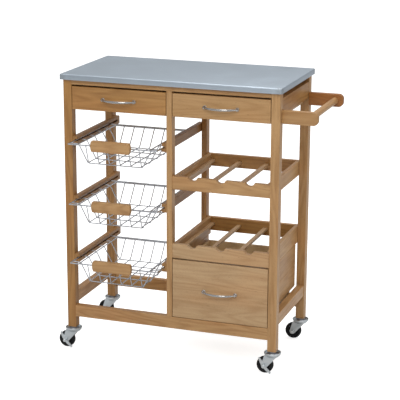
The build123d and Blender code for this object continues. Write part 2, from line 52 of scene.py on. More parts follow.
def setCamera(view):
    yaw, pitch, roll = view["yaw"], view["pitch"], view["roll"]
    ahead = Vector((-math.sin(yaw) * math.cos(pitch), math.cos(yaw) * math.cos(pitch),
                    math.sin(pitch)))
    level = Vector((math.cos(yaw), math.sin(yaw), 0))
    rise = level.cross(ahead)
    right = math.cos(roll) * level + math.sin(roll) * rise
    top = math.cos(roll) * rise - math.sin(roll) * level
    data = bpy.data.cameras.new("camera")
    data.lens = view["lens"]
    data.clip_end = view["clipEnd"]
    cam = bpy.data.objects.new("camera", data)
    scene.collection.objects.link(cam)
    place = Matrix.Translation((bodyMiddle + view["x"], bodyFront + view["y"], view["z"]))
    cam.matrix_world = place @ Matrix((right, top, -ahead)).transposed().to_4x4()
    scene.camera = cam


setCamera(cameraView)
scene.view_settings.view_transform = "Standard"
print("camera set")


# a socket either gets a link or a plain value
def feed(tree, socket, value):
    if isinstance(value, bpy.types.NodeSocket):
        tree.links.new(value, socket)
    else:
        socket.default_value = value


def addNode(tree, kind, sockets=None, **settings):
    node = tree.nodes.new(kind)
    for key, value in settings.items():
        setattr(node, key, value)
    for key, value in (sockets or {}).items():
        feed(tree, node.inputs[key], value)
    return node


def calc(tree, operation, *values):
    return addNode(tree, "ShaderNodeMath", dict(enumerate(values)), operation=operation).outputs[0]


def noise(tree, vector, scale, detail=2.0, roughness=0.5):
    sockets = {"Vector": vector, "Scale": scale, "Detail": detail, "Roughness": roughness}
    return addNode(tree, "ShaderNodeTexNoise", sockets).outputs[0]


def mapping(tree, vector, **values):
    sockets = {"Vector": vector, **{key.capitalize(): value for key, value in values.items()}}
    return addNode(tree, "ShaderNodeMapping", sockets).outputs[0]


def ramp(tree, value, low, high, toLow=0.0, toHigh=1.0):
    sockets = {"Value": value, "From Min": low, "From Max": high, "To Min": toLow, "To Max": toHigh}
    node = addNode(tree, "ShaderNodeMapRange", sockets, interpolation_type="SMOOTHSTEP")
    return node.outputs[0]


def mixed(tree, amount, first, second, blend="MIX"):
    node = addNode(tree, "ShaderNodeMix", {0: amount, 6: first, 7: second},
                   data_type="RGBA", blend_type=blend)
    return node.outputs[2]


def newGroup(name, inputs, outputs):
    tree = bpy.data.node_groups.new(name, "ShaderNodeTree")
    for label, kind in inputs:
        tree.interface.new_socket(name=label, in_out="INPUT", socket_type="NodeSocket" + kind)
    for label, kind in outputs:
        tree.interface.new_socket(name=label, in_out="OUTPUT", socket_type="NodeSocket" + kind)
    given = tree.nodes.new("NodeGroupInput").outputs
    return tree, given, tree.nodes.new("NodeGroupOutput").inputs


def useGroup(tree, group, sockets):
    node = tree.nodes.new("ShaderNodeGroup")
    node.node_tree = group
    for key, value in sockets.items():
        feed(tree, node.inputs[key], value)
    return node.outputs


# shared effects; each stretch is across the grain, which runs along the vector's x
timberLook = {
    "ringStretch": (2.2, 19, 19), "ringCount": 74.0, "ringPower": 1.6,
    "patchStretch": (1.6, 7, 7), "patchShare": 0.42,
    "streakStretch": (6, 150, 150), "streakShare": 0.38,
    "fibreStretch": (26, 1300, 1300), "fibreShare": 0.16, "lift": 0.16,
    "rayStretch": (210, 1500, 1500), "rayShare": 0.45, "fleckStretch": (62, 460, 460),
    "blushStretch": (3.5, 11, 11), "blushShare": 0.6, "blush": (1.06, 0.92, 0.8, 1),
    "pores": (0.17, 0.08, 0.032, 1), "roughness": 0.30}


def makeTimberGroup(look):
    tree, given, result = newGroup(
        "timber",
        [("Vector", "Vector"), ("Light", "Color"), ("Dark", "Color"), ("Figure", "Float"),
         ("Fleck", "Float")],
        [("Color", "Color"), ("Roughness", "Float"), ("Height", "Float")])

    def grain(part, detail=2.0, roughness=0.5):
        vector = mapping(tree, given["Vector"], scale=look[part + "Stretch"])
        return noise(tree, vector, 1.0, detail, roughness)

    turns = calc(tree, "SINE", calc(tree, "MULTIPLY", grain("ring", 1.5, 0.4), look["ringCount"]))
    rings = calc(tree, "MULTIPLY_ADD", turns, 0.5, 0.5)
    patch = ramp(tree, grain("patch"), 0.32, 0.68)
    streak = ramp(tree, grain("streak", 3.0, 0.6), 0.3, 0.7)
    fibre = grain("fibre")
    rays = calc(tree, "MULTIPLY", ramp(tree, grain("ray", 0.0), 0.64, 0.74), look["rayShare"])
    dashes = ramp(tree, grain("fleck", 0.0), 0.76, 0.82)
    tone = calc(tree, "MULTIPLY", calc(tree, "POWER", rings, look["ringPower"]), given["Figure"])
    tone = calc(tree, "MULTIPLY_ADD", patch, look["patchShare"], tone)
    tone = calc(tree, "MULTIPLY_ADD", streak, look["streakShare"], tone)
    tone = calc(tree, "MULTIPLY_ADD", fibre, look["fibreShare"],
                calc(tree, "SUBTRACT", tone, look["lift"]))
    tone = calc(tree, "MINIMUM", calc(tree, "MAXIMUM", tone, 0.0), 1.0)
    colour = mixed(tree, tone, given["Light"], given["Dark"])
    blush = ramp(tree, grain("blush"), 0.45, 0.75, 0.0, look["blushShare"])
    colour = mixed(tree, blush, colour, look["blush"], "MULTIPLY")
    specks = calc(tree, "MULTIPLY", calc(tree, "MAXIMUM", rays, dashes), given["Fleck"])
    tree.links.new(mixed(tree, specks, colour, look["pores"]), result["Color"])
    rough = calc(tree, "MULTIPLY_ADD", specks, 0.15, look["roughness"])
    tree.links.new(calc(tree, "MULTIPLY_ADD", fibre, 0.16, rough), result["Roughness"])
    height = calc(tree, "MULTIPLY_ADD", fibre, 0.6, calc(tree, "MULTIPLY", specks, -0.8))
    tree.links.new(calc(tree, "MULTIPLY_ADD", rings, 0.15, height), result["Height"])
    return tree


# where a surface turns sharply, such as an arris rubbed by hands; on the wood the same mask also
# paints a highlight along the rounded arrises
def makeEdgeGroup():
    tree, given, result = newGroup("edgeWearAndHighlightGroup", [("Radius", "Float"), ("Vector", "Vector")],
                                   [("Mask", "Float")])
    soft = addNode(tree, "ShaderNodeBevel", {"Radius": given["Radius"]}, samples=4).outputs[0]
    flat = addNode(tree, "ShaderNodeNewGeometry").outputs["Normal"]
    turn = addNode(tree, "ShaderNodeVectorMath", {0: soft, 1: flat}, operation="DOT_PRODUCT")
    broken = ramp(tree, noise(tree, given["Vector"], 90.0, 3.0), 0.35, 0.6)
    edge = ramp(tree, turn.outputs["Value"], 0.995, 0.9)
    tree.links.new(calc(tree, "MULTIPLY", edge, broken), result["Mask"])
    return tree


# fine parallel scratches along the vector's x, and soft cloudy handling marks
def makeBrushGroup():
    tree, given, result = newGroup("brushed", [("Vector", "Vector"), ("Fineness", "Float")],
                                   [("Streak", "Float"), ("Cloud", "Float")])
    fine = given["Fineness"]
    long = noise(tree, mapping(tree, given["Vector"], scale=(0.012, 1, 1)), fine, 3.0, 0.65)
    short = noise(tree, mapping(tree, given["Vector"], scale=(0.05, 1.6, 1.6)), fine, 1.0)
    streak = calc(tree, "MULTIPLY_ADD", short, 0.4, calc(tree, "MULTIPLY", long, 0.6))
    tree.links.new(streak, result["Streak"])
    cloud = ramp(tree, noise(tree, given["Vector"], 9.0, 4.0, 0.6), 0.35, 0.7)
    tree.links.new(cloud, result["Cloud"])
    return tree


# dust and finger smudges that change the gloss
def makeSmudgeGroup():
    tree, given, result = newGroup("smudges", [("Vector", "Vector"), ("Scale", "Float")],
                                   [("Mask", "Float")])
    cloud = noise(tree, given["Vector"], given["Scale"], 5.0, 0.6)
    tree.links.new(ramp(tree, cloud, 0.38, 0.68), result["Mask"])
    return tree


timberGroup = makeTimberGroup(timberLook)
edgeGroup = makeEdgeGroup()
brushGroup = makeBrushGroup()
smudgeGroup = makeSmudgeGroup()


def newMaterial(name):
    material = bpy.data.materials.new(name)
    material.use_nodes = True
    tree = material.node_tree
    shader = next(n for n in tree.nodes if n.type == "BSDF_PRINCIPLED")
    place = tree.nodes.new("ShaderNodeTexCoord").outputs["Object"]
    return material, tree, shader, place


def bump(tree, shader, height, strength, distance):
    sockets = {"Height": height, "Strength": strength, "Distance": distance}
    feed(tree, shader.inputs["Normal"], addNode(tree, "ShaderNodeBump", sockets).outputs[0])


def edgeWearAndHighlightMask(tree, vector, radius):
    return useGroup(tree, edgeGroup, {"Radius": radius, "Vector": vector})["Mask"]


def smudges(tree, vector, scale):
    return useGroup(tree, smudgeGroup, {"Vector": vector, "Scale": scale})["Mask"]


# light and dark are the two tones that the figure moves between
beechTones = {
    "plain": {"light": (0.500, 0.297, 0.129), "dark": (0.340, 0.177, 0.065),
              "figure": 0.40, "fleck": 0.35},
    "amber": {"light": (0.422, 0.219, 0.067), "dark": (0.272, 0.124, 0.032),
              "figure": 0.42, "fleck": 0.3},
    "warm": {"light": (0.456, 0.245, 0.082), "dark": (0.292, 0.139, 0.039),
             "figure": 0.42, "fleck": 0.3},
    "fair": {"light": (0.500, 0.302, 0.135), "dark": (0.390, 0.215, 0.084),
             "figure": 0.42, "fleck": 0.35},
    "pale": {"light": (0.500, 0.333, 0.178), "dark": (0.385, 0.232, 0.110),
             "figure": 0.45, "fleck": 0.45},
    # the next two tones are painted shade: darker copies of the beech for boards that sit in shade
    # under the worktop and among the baskets
    "deep": {"light": (0.360, 0.185, 0.062), "dark": (0.250, 0.115, 0.034),
             "figure": 0.4, "fleck": 0.3},
    "russet": {"light": (0.320, 0.125, 0.028), "dark": (0.225, 0.078, 0.015),
               "figure": 0.42, "fleck": 0.3},
    "drawer": {"light": (0.560, 0.395, 0.215), "dark": (0.450, 0.295, 0.145),
               "figure": 0.35, "fleck": 0.2},
    "ply": {"light": (0.600, 0.450, 0.270), "dark": (0.520, 0.365, 0.200),
            "figure": 0.5, "fleck": 0.1},
}
oilFinish = {"edge": 0.0016, "wearAndHighlightShare": 0.3, "palerWhereRubbedAndHighlit": 1.22, "smudgeScale": 14.0,
             "smudgeGloss": 0.1, "specular": 0.4, "coat": 0.08, "coatRoughness": 0.25,
             "bump": 0.25, "bumpDepth": 0.0003}
boardShift = (0.37, 0.61, 0.23)
grainTurns = {"x": (0, 0, 0), "y": (0, 0, math.pi / 2), "z": (0, math.pi / 2, 0)}
woodsMade = {}


# wood with its grain along one axis; the shift gives each board a figure of its own
def wood(tone, axis, shift=0):
    key = f"beech_{tone}_{axis}_{shift}"
    if key in woodsMade:
        return woodsMade[key]
    material, tree, shader, place = newMaterial(key)
    look = beechTones[tone]
    moved = mapping(tree, place, location=[shift * step for step in boardShift],
                    rotation=grainTurns[axis])
    timber = useGroup(tree, timberGroup, {
        "Vector": moved, "Light": (*look["light"], 1), "Dark": (*look["dark"], 1),
        "Figure": look["figure"], "Fleck": look["fleck"]})
    # the arrises are painted paler: partly rubbed wear, partly a painted highlight where light
    # catches the rounded edges
    rubbedAndHighlit = calc(tree, "MULTIPLY", edgeWearAndHighlightMask(tree, moved, oilFinish["edge"]), oilFinish["wearAndHighlightShare"])
    paler = [min(1.0, v * oilFinish["palerWhereRubbedAndHighlit"]) for v in look["light"]]
    feed(tree, shader.inputs["Base Color"], mixed(tree, rubbedAndHighlit, timber["Color"], (*paler, 1)))
    smudge = smudges(tree, place, oilFinish["smudgeScale"])
    rough = calc(tree, "MULTIPLY_ADD", smudge, oilFinish["smudgeGloss"], timber["Roughness"])
    feed(tree, shader.inputs["Roughness"], rough)
    shader.inputs["Specular IOR Level"].default_value = oilFinish["specular"]
    shader.inputs["Coat Weight"].default_value = oilFinish["coat"]
    shader.inputs["Coat Roughness"].default_value = oilFinish["coatRoughness"]
    bump(tree, shader, timber["Height"], oilFinish["bump"], oilFinish["bumpDepth"])
    woodsMade[key] = material
    return material


metalLooks = {
    "satinChrome": {"base": (0.46, 0.45, 0.44), "dull": (0.36, 0.35, 0.34), "roughness": 0.12,
                    "fineness": 1800.0, "turn": (0, 0, 0), "scratch": 0.12},
    "platedWire": {"base": (0.55, 0.57, 0.61), "dull": (0.38, 0.40, 0.43), "roughness": 0.16,
                   "fineness": 1500.0, "turn": (0, 0, 0), "scratch": 0.12},
    "zincPlate": {"base": (0.66, 0.70, 0.72), "dull": (0.36, 0.40, 0.42), "roughness": 0.24,
                  "fineness": 500.0, "turn": (0, 0.8, 0.3), "scratch": 0.2},
    "boltSteel": {"base": (0.30, 0.30, 0.32), "dull": (0.18, 0.18, 0.2), "roughness": 0.34,
                  "fineness": 900.0, "turn": (0, 0, 0), "scratch": 0.12},
}
metalWear = {"edge": 0.0008, "wearAndHighlightShare": 0.5, "bright": (0.8, 0.82, 0.84, 1), "cloud": 0.35,
             "smudgeScale": 32.0, "smudgeGloss": 0.07, "bump": 0.12, "bumpDepth": 0.0001}


def makeMetal(name, look):
    material, tree, shader, place = newMaterial(name)
    along = mapping(tree, place, rotation=look["turn"])
    brush = useGroup(tree, brushGroup, {"Vector": along, "Fineness": look["fineness"]})
    clouded = calc(tree, "MULTIPLY", brush["Cloud"], metalWear["cloud"])
    colour = mixed(tree, clouded, (*look["base"], 1), (*look["dull"], 1))
    rubbedAndHighlit = calc(tree, "MULTIPLY", edgeWearAndHighlightMask(tree, place, metalWear["edge"]), metalWear["wearAndHighlightShare"])
    feed(tree, shader.inputs["Base Color"], mixed(tree, rubbedAndHighlit, colour, metalWear["bright"]))
    rough = calc(tree, "MULTIPLY_ADD", brush["Streak"], look["scratch"], look["roughness"])
    smudge = smudges(tree, place, metalWear["smudgeScale"])
    rough = calc(tree, "MULTIPLY_ADD", smudge, metalWear["smudgeGloss"], rough)
    feed(tree, shader.inputs["Roughness"], rough)
    shader.inputs["Metallic"].default_value = 1.0
    bump(tree, shader, brush["Streak"], metalWear["bump"], metalWear["bumpDepth"])
    return material


steelTop = {"base": (0.495, 0.57, 0.645, 1), "dull": (0.42, 0.47, 0.52, 1), "cloud": 0.2,
            "streak": (0.62, 0.68, 0.73, 1), "streakShare": 0.3, "roughness": 0.29,
            "scratch": 0.16, "smudgeScale": 11.0, "smudgeGloss": 0.03, "fineness": 2200.0,
            "corner": (0.27, 0.29, 0.30, 1), "cornerShare": 0.45, "cornerFineness": 0.7,
            "cornerGloss": 0.12, "cornerTurn": (0.5, 0.9, 1.1), "cornerStart": 0.026,
            "cornerEnd": 0.008, "bump": 0.15, "bumpDepth": 0.0001}


# brushed along the worktop, with the corners ground in another direction after welding
def makeSteel(look):
    material, tree, shader, place = newMaterial("brushedSteel")
    low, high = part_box("worktop_skin")
    centre, half = (low + high) / 2, (high - low) / 2
    centred = mapping(tree, place, location=(-centre.x, -centre.y, -high.z))
    brush = useGroup(tree, brushGroup, {"Vector": centred, "Fineness": look["fineness"]})
    across = mapping(tree, centred, rotation=look["cornerTurn"])
    ground = useGroup(tree, brushGroup, {
        "Vector": across, "Fineness": look["fineness"] * look["cornerFineness"]})
    split = addNode(tree, "ShaderNodeSeparateXYZ", {"Vector": centred}).outputs
    near = [ramp(tree, calc(tree, "ABSOLUTE", split[axis]), reach - look["cornerStart"],
                 reach - look["cornerEnd"]) for axis, reach in (("X", half.x), ("Y", half.y))]
    corner = calc(tree, "MULTIPLY", *near)
    change = calc(tree, "SUBTRACT", ground["Streak"], brush["Streak"])
    streak = calc(tree, "MULTIPLY_ADD", corner, change, brush["Streak"])
    clouded = calc(tree, "MULTIPLY", brush["Cloud"], look["cloud"])
    colour = mixed(tree, clouded, look["base"], look["dull"])
    bright = ramp(tree, streak, 0.35, 0.65, 0.0, look["streakShare"])
    colour = mixed(tree, bright, colour, look["streak"])
    darker = calc(tree, "MULTIPLY", corner, look["cornerShare"])
    feed(tree, shader.inputs["Base Color"], mixed(tree, darker, colour, look["corner"]))
    smudge = smudges(tree, centred, look["smudgeScale"])
    rough = calc(tree, "MULTIPLY_ADD", streak, look["scratch"], look["roughness"])
    rough = calc(tree, "MULTIPLY_ADD", smudge, look["smudgeGloss"], rough)
    rough = calc(tree, "MULTIPLY_ADD", corner, look["cornerGloss"], rough)
    feed(tree, shader.inputs["Roughness"], rough)
    shader.inputs["Metallic"].default_value = 1.0
    bump(tree, shader, streak, look["bump"], look["bumpDepth"])
    return material


plasticLooks = {
    "tyreRubber": {"base": (0.0035, 0.004, 0.005), "roughness": 0.5},
    "hubPlastic": {"base": (0.006, 0.007, 0.008), "roughness": 0.4},
}
plasticWear = {"edge": 0.0012, "wearAndHighlightShare": 0.3, "scuffed": (0.04, 0.042, 0.045, 1), "dusty": 2.2,
               "dust": 0.5, "smudgeScale": 60.0, "smudgeGloss": 0.18, "specular": 0.3,
               "grain": 900.0, "bump": 0.15, "bumpDepth": 0.0002}


def makePlastic(name, look):
    material, tree, shader, place = newMaterial(name)
    smudge = smudges(tree, place, plasticWear["smudgeScale"])
    dusty = [v * plasticWear["dusty"] for v in look["base"]]
    colour = mixed(tree, calc(tree, "MULTIPLY", smudge, plasticWear["dust"]),
                   (*look["base"], 1), (*dusty, 1))
    rubbedAndHighlit = calc(tree, "MULTIPLY", edgeWearAndHighlightMask(tree, place, plasticWear["edge"]), plasticWear["wearAndHighlightShare"])
    feed(tree, shader.inputs["Base Color"], mixed(tree, rubbedAndHighlit, colour, plasticWear["scuffed"]))
    rough = calc(tree, "MULTIPLY_ADD", smudge, plasticWear["smudgeGloss"], look["roughness"])
    feed(tree, shader.inputs["Roughness"], rough)
    shader.inputs["Specular IOR Level"].default_value = plasticWear["specular"]
    grain = noise(tree, place, plasticWear["grain"])
    bump(tree, shader, grain, plasticWear["bump"], plasticWear["bumpDepth"])
    return material


chipLook = {"stretch": (260, 420, 420), "light": (0.58, 0.42, 0.25, 1),
            "dark": (0.36, 0.23, 0.12, 1), "dust": (0.68, 0.54, 0.36, 1), "dustScale": 700.0,
            "dustShare": 0.5, "roughness": 0.8, "bump": 0.3, "bumpDepth": 0.0004}


# pressed wood chips, seen only from under the worktop
def makeBoard(look):
    material, tree, shader, place = newMaterial("chipBoard")
    sockets = {"Vector": mapping(tree, place, scale=look["stretch"]), "Scale": 1.0}
    chips = addNode(tree, "ShaderNodeTexVoronoi", sockets).outputs["Color"]
    shade = addNode(tree, "ShaderNodeSeparateColor", {"Color": chips}).outputs[0]
    colour = mixed(tree, shade, look["light"], look["dark"])
    dust = ramp(tree, noise(tree, place, look["dustScale"]), 0.4, 0.7, 0.0, look["dustShare"])
    feed(tree, shader.inputs["Base Color"], mixed(tree, dust, colour, look["dust"]))
    shader.inputs["Roughness"].default_value = look["roughness"]
    bump(tree, shader, shade, look["bump"], look["bumpDepth"])
    return material


steel = makeSteel(steelTop)
metals = {name: makeMetal(name, look) for name, look in metalLooks.items()}
plastics = {name: makePlastic(name, look) for name, look in plasticLooks.items()}
chipBoard = makeBoard(chipLook)
print("materials made")


# profile points are written in millimetres
def mm(*points):
    return [(a / 1000, b / 1000) for a, b in points]


facings = {"up": Matrix.Identity(4), "front": Matrix.Rotation(math.pi / 2, 4, "X"),
           "back": Matrix.Rotation(-math.pi / 2, 4, "X"),
           "left": Matrix.Rotation(-math.pi / 2, 4, "Y")}


# moves a shape's origin to a point and turns its z to face a side
def aimed(x, y, z, side="up"):
    return Matrix.Translation((x, y, z)) @ facings[side]


# turns a run of (radius, height) points round z, then puts it in place
def addTurned(bm, profile, place, steps=40):
    old = set(bm.verts)
    line = [bm.verts.new((r, 0, h)) for r, h in profile]
    edges = [bm.edges.new(pair) for pair in zip(line, line[1:])]
    bmesh.ops.spin(bm, geom=line + edges, cent=(0, 0, 0), axis=(0, 0, 1), angle=2 * math.pi,
                   steps=steps, use_merge=True, use_duplicate=False)
    bmesh.ops.transform(bm, matrix=place, verts=[v for v in bm.verts if v not in old])


def roundEdges(bm, edges, offset, segments):
    bmesh.ops.bevel(bm, geom=edges, offset=offset, offset_type="OFFSET", segments=segments,
                    profile=0.5, affect="EDGES", material=-1)


def sharpEdges(bm, degrees):
    limit = math.radians(degrees)
    return [e for e in bm.edges if e.is_manifold and e.calc_face_angle() > limit]


def runsAlong(edge, axis):
    return abs(edge.verts[0].co[axis] - edge.verts[1].co[axis]) > 0.001


def addBox(bm, low, high):
    low, high = Vector(low), Vector(high)
    made = bmesh.ops.create_cube(bm, size=1)["verts"]
    bmesh.ops.scale(bm, vec=high - low, verts=made)
    bmesh.ops.translate(bm, vec=(low + high) / 2, verts=made)
    return set(made)


# a block between two corners with all its edges rounded
def addBlock(bm, low, high, rounding=0.001, segments=3):
    made = addBox(bm, low, high)
    roundEdges(bm, [e for e in bm.edges if e.verts[0] in made], rounding, segments)


def addMesh(bm, part):
    data = bpy.data.meshes.new("part")
    part.to_mesh(data)
    part.free()
    bm.from_mesh(data)
    bpy.data.meshes.remove(data)


# a flat plate that wraps round its corner points and a circle, between two y
def addWrappedPlate(bm, points, circle, nearY, farY, rounding=0.0004):
    part = bmesh.new()
    x, z, radius = circle
    for y in (nearY, farY):
        bmesh.ops.create_circle(part, cap_ends=False, segments=36, radius=radius,
                                matrix=aimed(x, y, z, "front"))
        for cornerX, cornerZ in points:
            part.verts.new((cornerX, y, cornerZ))
    bmesh.ops.convex_hull(part, input=part.verts[:], use_existing_faces=False)
    loose = [v for v in part.verts if not v.link_faces]
    bmesh.ops.delete(part, geom=loose, context="VERTS")
    bmesh.ops.dissolve_limit(part, angle_limit=math.radians(1), verts=part.verts[:],
                             edges=part.edges[:])
    roundEdges(part, sharpEdges(part, 60), rounding, 2)
    addMesh(bm, part)


def placePiece(piece, body, replaced=()):
    scene.collection.objects.link(piece)
    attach(piece, body)
    if replaced:
        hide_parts(*replaced)


# closes seams, turns faces outwards, shades smooth below an angle and makes the object
def finishPiece(name, bm, material, body, replaced=(), sharp=38):
    bmesh.ops.remove_doubles(bm, verts=bm.verts[:], dist=1e-6)
    bmesh.ops.recalc_face_normals(bm, faces=bm.faces[:])
    for face in bm.faces:
        face.smooth = True
    for edge in bm.edges:
        edge.smooth = not edge.is_manifold or edge.calc_face_angle() < math.radians(sharp)
    data = bpy.data.meshes.new(name)
    bm.to_mesh(data)
    bm.free()
    data.materials.append(material)
    placePiece(bpy.data.objects.new(name, data), body, replaced)


# boards whose shape is right already: tone, grain and shift; the battens under the worktop and the
# basket runners take a darker tone that is painted shade
boardWoods = {
    "leg_front_left": ("amber", "z", 1), "leg_front_right": ("plain", "z", 2),
    "leg_rear_left": ("warm", "z", 3), "leg_rear_right": ("plain", "z", 4),
    "post_front": ("plain", "z", 5), "post_rear": ("warm", "z", 6),
    "front_top_rail": ("plain", "x", 7), "rear_apron": ("plain", "x", 8),
    "side_aprons": ("warm", "y", 9), "top_battens": ("deep", "y", 10),
    "bottom_rail_front": ("plain", "x", 11), "bottom_rail_rear": ("warm", "x", 12),
    "bottom_side_rails": ("plain", "y", 13), "drawer_divider": ("drawer", "y", 14),
    "upper_drawer_runners": ("drawer", "y", 15), "lower_drawer_runners": ("drawer", "y", 16),
    "basket_runners_top": ("deep", "y", 17), "basket_runners_middle": ("deep", "y", 18),
    "basket_runners_bottom": ("deep", "y", 19), "upper_rack_front_rail": ("plain", "x", 20),
    "upper_rack_rear_rail": ("warm", "x", 21), "upper_rack_sides": ("plain", "y", 22),
    "upper_rack_battens": ("pale", "y", 23), "lower_rack_front_rail": ("pale", "x", 24),
    "lower_rack_rear_rail": ("warm", "x", 25), "lower_rack_sides": ("plain", "y", 26),
    "lower_rack_battens": ("pale", "y", 27), "drawer_left_front": ("warm", "x", 29),
    "drawer_right_front": ("fair", "x", 30), "drawer_lower_front": ("pale", "x", 31),
}


def paint(node, material):
    data = nodes[node].data
    data.materials.clear()
    data.materials.append(material)


for node, look in boardWoods.items():
    paint(node, wood(*look))
paint("worktop_core", chipBoard)
print("boards finished")

worktop = {"corner": 0.006, "cornerSteps": 10, "fold": 0.003, "foldSteps": 5, "sheet": 0.001}


# a folded sheet, open underneath, with soft folds and welded corners
def makeWorktop(look):
    low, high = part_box("worktop_skin")
    bm = bmesh.new()
    addBox(bm, low, high)
    roundEdges(bm, [e for e in bm.edges if runsAlong(e, 2)], look["corner"], look["cornerSteps"])
    under = [f for f in bm.faces if f.calc_center_median().z < low.z + 0.0001]
    bmesh.ops.delete(bm, geom=under, context="FACES_ONLY")
    upper = [e for e in bm.edges if min(v.co.z for v in e.verts) > high.z - 0.0001]
    roundEdges(bm, upper, look["fold"], look["foldSteps"])
    bmesh.ops.recalc_face_normals(bm, faces=bm.faces[:])
    bmesh.ops.solidify(bm, geom=bm.faces[:], thickness=look["sheet"])
    finishPiece("worktopSheet", bm, steel, "frame", ("worktop_skin",), 50)


makeWorktop(worktop)
print("worktop made")

cabinetPlanks = {"thickness": 0.012, "rows": 2, "round": 0.0014}


# each side of the lower cabinet is edge-jointed from planks, which leaves a fine groove
def makeCabinetSides(look):
    low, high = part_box("cabinet_sides")
    bm = bmesh.new()
    rise = (high.z - low.z) / look["rows"]
    for x in (low.x, high.x - look["thickness"]):
        for row in range(look["rows"]):
            bottom = low.z + row * rise
            addBlock(bm, (x, low.y, bottom), (x + look["thickness"], high.y, bottom + rise),
                     look["round"])
    finishPiece("cabinetSidePlanks", bm, wood("plain", "y", 35), "frame",
                ("cabinet_sides",))


makeCabinetSides(cabinetPlanks)
print("cabinet sides made")

drawerBox = {"board": 0.010, "floor": 0.004, "floorLift": 0.0035, "round": 0.0015,
             "floorRound": 0.0003, "gap": 0.0001,
             "shifts": {"drawer_left": 40, "drawer_right": 41, "drawer_lower": 42}}


# sides with their grain front to back, a back board between them and a thin floor let in
def makeDrawerBox(drawer, look):
    low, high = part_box(f"{drawer}_box")
    board, gap, shift = look["board"], look["gap"], look["shifts"][drawer]
    innerLow, innerHigh = low.x + board + gap, high.x - board - gap
    sides = bmesh.new()
    addBlock(sides, low, (low.x + board, high.y, high.z), look["round"])
    addBlock(sides, (high.x - board, low.y, low.z), high, look["round"])
    finishPiece(f"{drawer}_boxSides", sides, wood("drawer", "y", shift), drawer,
                (f"{drawer}_box",))
    back = bmesh.new()
    addBlock(back, (innerLow, high.y - board, low.z), (innerHigh, high.y, high.z), look["round"])
    finishPiece(f"{drawer}_boxBack", back, wood("drawer", "x", shift), drawer)
    floor = bmesh.new()
    bottom = low.z + look["floorLift"]
    addBlock(floor, (innerLow, low.y, bottom),
             (innerHigh, high.y - board - gap, bottom + look["floor"]), look["floorRound"], 2)
    finishPiece(f"{drawer}_boxFloor", floor, wood("ply", "y", shift), drawer)


for drawer in drawerBox["shifts"]:
    makeDrawerBox(drawer, drawerBox)
print("drawer boxes made")

towelArms = {"thickness": 0.016, "corner": 0.014, "cornerSteps": 14, "round": 0.0016}


# each arm is a board with its outer end rounded
def makeTowelArm(name, nearY, look, material, replaced=()):
    low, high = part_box("towel_arms")
    bm = bmesh.new()
    addBox(bm, (low.x, nearY, low.z), (high.x, nearY + look["thickness"], high.z))
    outer = [e for e in bm.edges if all(v.co.x > high.x - 0.001 for v in e.verts)
             and runsAlong(e, 1)]
    roundEdges(bm, outer, look["corner"], look["cornerSteps"])
    roundEdges(bm, sharpEdges(bm, 60), look["round"], 3)
    finishPiece(name, bm, material, "frame", replaced)


armsLow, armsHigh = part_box("towel_arms")
makeTowelArm("towelArmFront", armsLow.y, towelArms, wood("plain", "x", 28), ("towel_arms",))
# the rear arm is painted darker: a painted shadow from the worktop above it
makeTowelArm("towelArmRear", armsHigh.y - towelArms["thickness"], towelArms,
             wood("russet", "x", 43))

towelBar = {"shoulder": 0.0012, "tenon": 0.0095, "steps": 56}


def makeTowelBar(look):
    low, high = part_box("towel_bar")
    centre, radius = (low + high) / 2, (high.x - low.x) / 2
    start, s = low.y + look["tenon"], look["shoulder"]
    length = high.y - look["tenon"] - start
    half = [(0, 0), (radius - s, 0), (radius - 0.3 * s, 0.3 * s), (radius, s)]
    profile = half + [(radius, length / 2)] + [(r, length - h) for r, h in reversed(half)]
    bm = bmesh.new()
    addTurned(bm, profile, aimed(centre.x, start, centre.z, "back"), look["steps"])
    finishPiece("towelDowel", bm, wood("plain", "y", 36), "frame", ("towel_bar",))


makeTowelBar(towelBar)
print("towel rail made")

bow = {"centres": 0.096, "overall": 0.108, "tall": 0.0068, "thick": 0.0045, "endTaper": 0.42,
       "endRound": 0.0014, "footHeight": 0.007,
       "foot": mm((0, 0), (5.4, 0), (5.4, 0.6), (4.8, 1.1), (3.6, 2), (3.3, 3.5), (3.8, 5.2),
                  (3.6, 8.2), (0, 8.8)),
       "screw": mm((0, 0), (4, 0), (4, 0.99), (3.2, 1.87), (1.8, 2.2), (0.72, 2.09),
                   (0.6, 0.66), (0, 0.66))}


